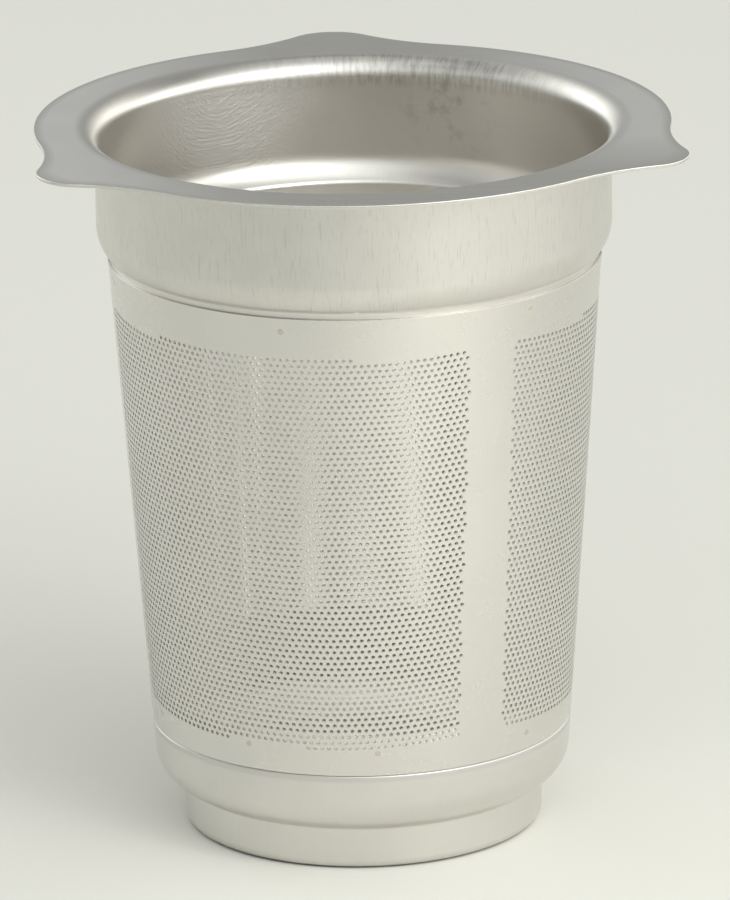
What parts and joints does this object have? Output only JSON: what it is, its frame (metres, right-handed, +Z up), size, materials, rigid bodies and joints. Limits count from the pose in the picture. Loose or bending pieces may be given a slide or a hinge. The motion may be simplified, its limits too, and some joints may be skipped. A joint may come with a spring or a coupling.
{
  "type": "basket strainer",
  "caption": "Tapered brushed-steel basket strainer with an eared flanged collar, a finely perforated rolled wall and a drawn base cup.",
  "frame": {"origin": "on the axis of the basket, at the underside of its foot, the surface it stands on", "axes": "+Z up along the axis, out of the mouth; -Y towards the front, where the picture was taken from; +X to its right"},
  "size_m": [0.0928, 0.0974, 0.104],
  "materials": {
    "collar_steel": "brushed satin",
    "wall_steel": "smooth satin",
    "cup_steel": "smooth satin",
    "weld_steel": "heat-tinted dull"
  },
  "bodies": {
    "root": {"collar": "collar_steel", "perforated_wall": "wall_steel", "base_cup": "cup_steel", "rim_spot_welds": "weld_steel", "base_spot_welds": "weld_steel"}
  },
  "joints": []
}
